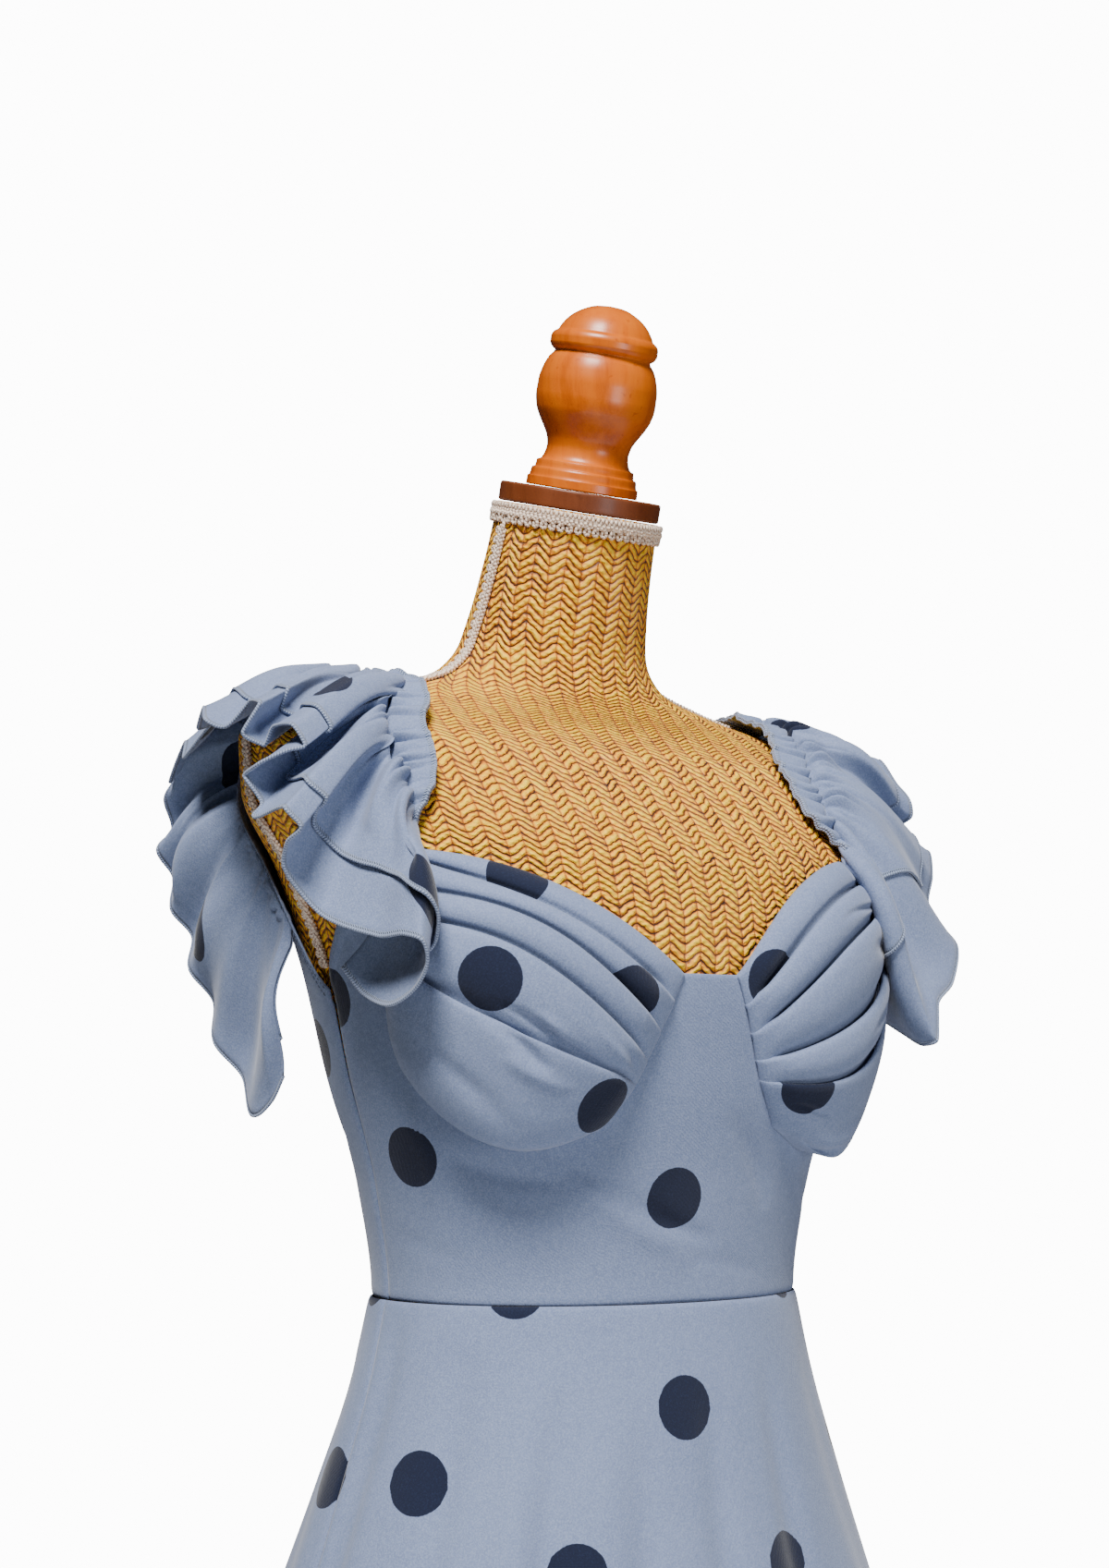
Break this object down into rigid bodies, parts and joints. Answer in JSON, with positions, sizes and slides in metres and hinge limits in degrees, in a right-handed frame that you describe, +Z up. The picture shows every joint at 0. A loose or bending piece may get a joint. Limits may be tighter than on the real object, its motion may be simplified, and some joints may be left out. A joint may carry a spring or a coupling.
{
  "type": "flamenco dress on dress form",
  "caption": "Dotted flamenco dress with pleated cups, ruffled straps and a full flared skirt, on a limbless straw-covered dress form with a turned finial, a post and a round foot.",
  "frame": {"origin": "centre of the stand foot's underside, on the floor", "axes": "+Z up the post, -Y the way the dress faces, +X the wearer's left"},
  "size_m": [0.7441, 0.6293, 1.6125],
  "materials": {
    "blue_crepe": "matt stretch crepe, light blue with navy dots",
    "woven_straw": "golden herringbone straw",
    "cream_braid": "cream looped braid",
    "varnished_wood": "orange-brown varnish",
    "dark_wood": "dark brown satin"
  },
  "bodies": {
    "root": {"form_body": "woven_straw", "form_neck_braid": "cream_braid", "form_side_braid_right": "cream_braid", "form_side_braid_left": "cream_braid", "form_neck_plate": "dark_wood", "form_finial": "varnished_wood", "stand_post": "varnished_wood", "stand_foot": "varnished_wood", "bodice_front": "blue_crepe", "bodice_back": "blue_crepe", "cup_right": "blue_crepe", "cup_left": "blue_crepe", "ruffle_right_under": "blue_crepe", "ruffle_right_over": "blue_crepe", "ruffle_left_under": "blue_crepe", "ruffle_left_over": "blue_crepe", "skirt_front": "blue_crepe", "skirt_back": "blue_crepe"}
  },
  "joints": []
}
